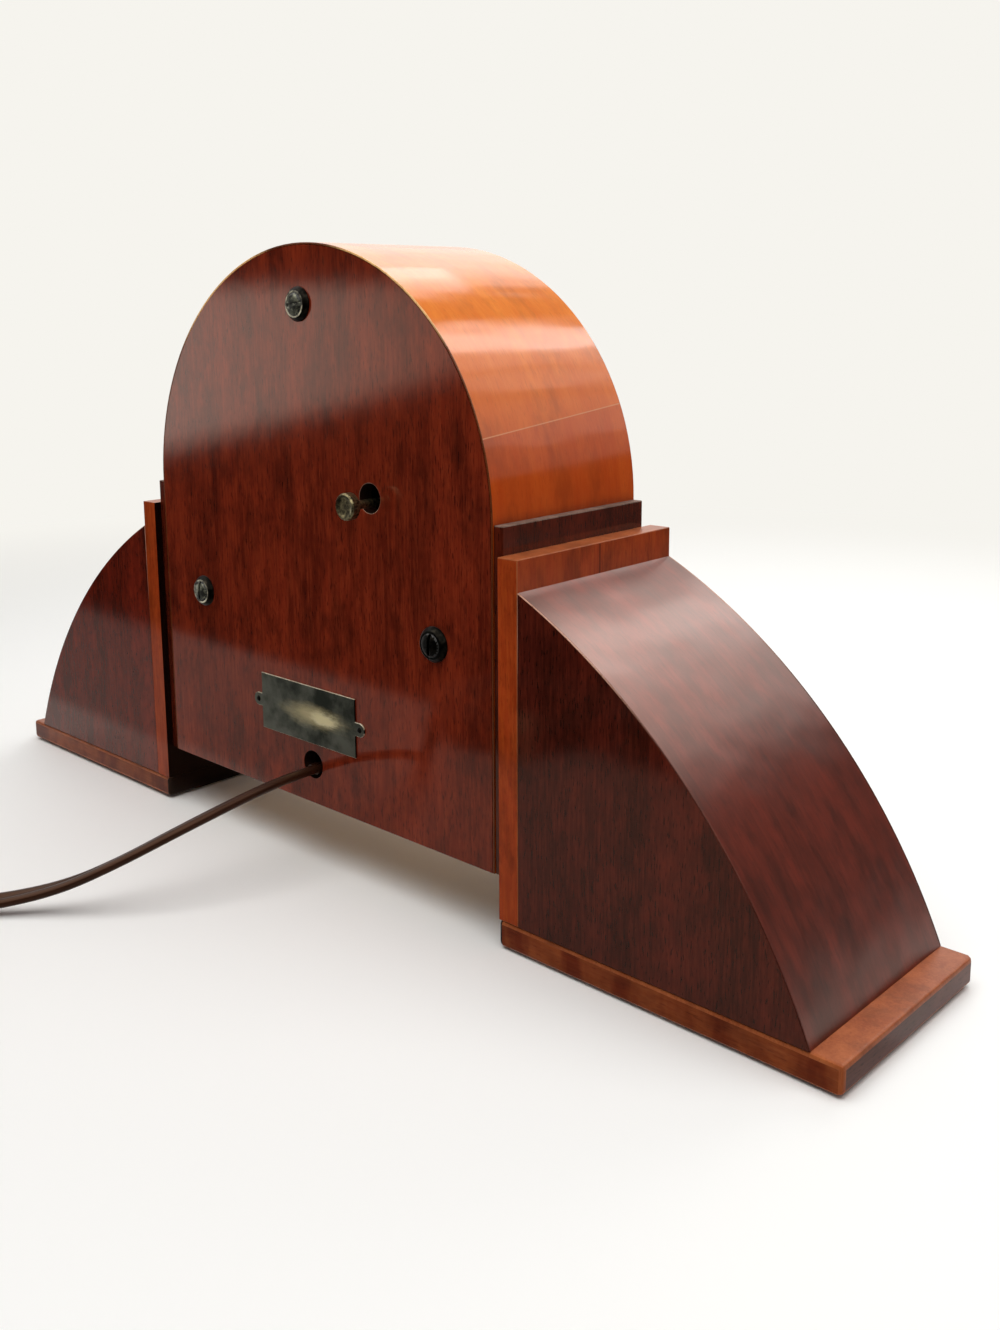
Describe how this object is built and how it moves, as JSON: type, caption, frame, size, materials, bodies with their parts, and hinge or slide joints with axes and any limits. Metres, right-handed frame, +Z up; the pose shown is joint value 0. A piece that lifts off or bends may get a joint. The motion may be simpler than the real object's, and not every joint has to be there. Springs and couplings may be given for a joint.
{
  "type": "beehive shelf clock",
  "caption": "Electric shelf clock in a round-topped veneered wooden case with stepped pilasters, curved wings, rear setting knob and put-away cord.",
  "frame": {"origin": "bottom centre of the clock without its cord: on the centre line, at the underside of the felt pads, midway between the crystal's front and the setting knob's rear end", "axes": "+X to the right as the dial is seen, +Y to the back, +Z up"},
  "size_m": [0.442, 0.333, 0.2377],
  "materials": {
    "band_veneer": "bent mahogany veneer, orange-brown, glossy lacquer",
    "dark_mahogany": "dark red-brown mahogany veneer, vertical grain, glossy lacquer",
    "wing_mahogany": "dark red-brown mahogany veneer, glossy lacquer",
    "inner_pilaster_wood": "dark stained mahogany, lacquered edges",
    "light_trim_wood": "orange-brown solid wood, lacquered",
    "carcass_wood": "unfinished softwood and plywood",
    "green_felt": "thin green felt",
    "zinc_steel": "zinc-plated steel",
    "polished_brass": "polished and lacquered brass",
    "crystal_glass": "clear convex glass",
    "silvered_ring": "silvered spun metal, satin",
    "dial_enamel": "cream painted metal with plain printed numbers",
    "hand_black": "black painted steel",
    "hand_brass": "thin gilt brass",
    "plate_brass": "stamped clock brass, satin",
    "arbor_steel": "turned steel",
    "aged_brass": "oxidised brass with bright wear on its edges",
    "dark_screw_brass": "darkened oxidised brass",
    "label_brass": "tarnished brass, bare, worn brighter in the middle",
    "can_copper": "copper-plated drawn can",
    "core_steel": "varnished steel laminations",
    "coil_wrap": "varnished cloth wrap",
    "cord_rubber": "brown twin rubber cord, satin",
    "tie_paper": "plain strap round the put-away cord",
    "plug_bakelite": "moulded brown plug",
    "blade_brass": "brass plug blades"
  },
  "bodies": {
    "case": {"arch_band": "band_veneer", "front_panel": "dark_mahogany", "back_panel": "dark_mahogany", "bottom_board": "carcass_wood", "glue_blocks": "carcass_wood", "inner_pilaster_left": "inner_pilaster_wood", "inner_pilaster_right": "inner_pilaster_wood", "outer_pilaster_left": "light_trim_wood", "outer_pilaster_right": "light_trim_wood", "base_slab_left": "light_trim_wood", "base_slab_right": "light_trim_wood", "felt_pad_left": "green_felt", "felt_pad_right": "green_felt", "slab_screws": "zinc_steel", "wing_top_left": "wing_mahogany", "wing_top_right": "wing_mahogany", "wing_front_cheek_left": "wing_mahogany", "wing_front_cheek_right": "wing_mahogany", "wing_back_cheek_left": "wing_mahogany", "wing_back_cheek_right": "wing_mahogany", "bezel": "polished_brass", "crystal": "crystal_glass", "sight_ring": "silvered_ring", "dial": "dial_enamel", "dial_pan": "zinc_steel", "movement_front_plate": "plate_brass", "movement_back_plate": "plate_brass", "movement_pillars": "plate_brass", "pillar_screws": "zinc_steel", "motion_stud": "arbor_steel", "rotor_can": "can_copper", "field_core": "core_steel", "field_coil": "coil_wrap", "field_posts": "plate_brass", "field_screws": "zinc_steel", "case_screws": "dark_screw_brass", "cup_washers": "dark_screw_brass", "label_plate": "label_brass", "plate_pins": "label_brass", "inner_lead": "cord_rubber", "cord_lead": "cord_rubber", "cord_coil": "cord_rubber", "cord_tie": "tie_paper", "plug_body": "plug_bakelite", "plug_blades": "blade_brass"},
    "seconds": {"seconds_arbor": "arbor_steel", "seconds_wheel": "plate_brass", "second_hand": "hand_brass"},
    "rotor": {"rotor_pinion": "arbor_steel"},
    "intermediate": {"intermediate_arbor": "arbor_steel", "intermediate_wheel": "plate_brass"},
    "centre": {"centre_wheel": "plate_brass"},
    "minute": {"minute_tube": "plate_brass", "clutch_spring": "plate_brass", "minute_hand": "hand_black"},
    "motion": {"motion_wheel": "plate_brass"},
    "hour": {"hour_wheel": "plate_brass", "hour_hand": "hand_black"},
    "setting": {"setting_shaft": "aged_brass", "setting_knob": "aged_brass"}
  },
  "joints": [
    {"name": "seconds_spin", "type": "hinge", "parent": "case", "child": "seconds", "pos_m": [0, 0, 0.1384], "axis": [0, 1, 0], "continuous": true},
    {"name": "rotor_spin", "type": "hinge", "parent": "case", "child": "rotor", "pos_m": [0, 0, 0.1269], "axis": [0, 1, 0], "continuous": true},
    {"name": "intermediate_spin", "type": "hinge", "parent": "case", "child": "intermediate", "pos_m": [0, 0, 0.1546], "axis": [0, 1, 0], "continuous": true},
    {"name": "centre_spin", "type": "hinge", "parent": "case", "child": "centre", "pos_m": [0, 0, 0.1384], "axis": [0, 1, 0], "continuous": true},
    {"name": "minute_spin", "type": "hinge", "parent": "case", "child": "minute", "pos_m": [0, 0, 0.1384], "axis": [0, 1, 0], "continuous": true},
    {"name": "motion_spin", "type": "hinge", "parent": "case", "child": "motion", "pos_m": [-0.01765, 0, 0.14596], "axis": [0, 1, 0], "continuous": true},
    {"name": "hour_spin", "type": "hinge", "parent": "case", "child": "hour", "pos_m": [0, 0, 0.1384], "axis": [0, 1, 0], "continuous": true},
    {"name": "setting_spin", "type": "hinge", "parent": "case", "child": "setting", "pos_m": [-0.03605, 0, 0.1458], "axis": [0, 1, 0], "continuous": true}
  ],
  "couplings": [
    {"joint": "rotor_spin", "follows": "seconds_spin", "ratio": -3.6},
    {"joint": "intermediate_spin", "follows": "seconds_spin", "ratio": -0.125},
    {"joint": "centre_spin", "follows": "seconds_spin", "ratio": 0.016667},
    {"joint": "motion_spin", "follows": "minute_spin", "ratio": -0.33333},
    {"joint": "hour_spin", "follows": "minute_spin", "ratio": 0.083333},
    {"joint": "setting_spin", "follows": "minute_spin", "ratio": 1.2}
  ]
}
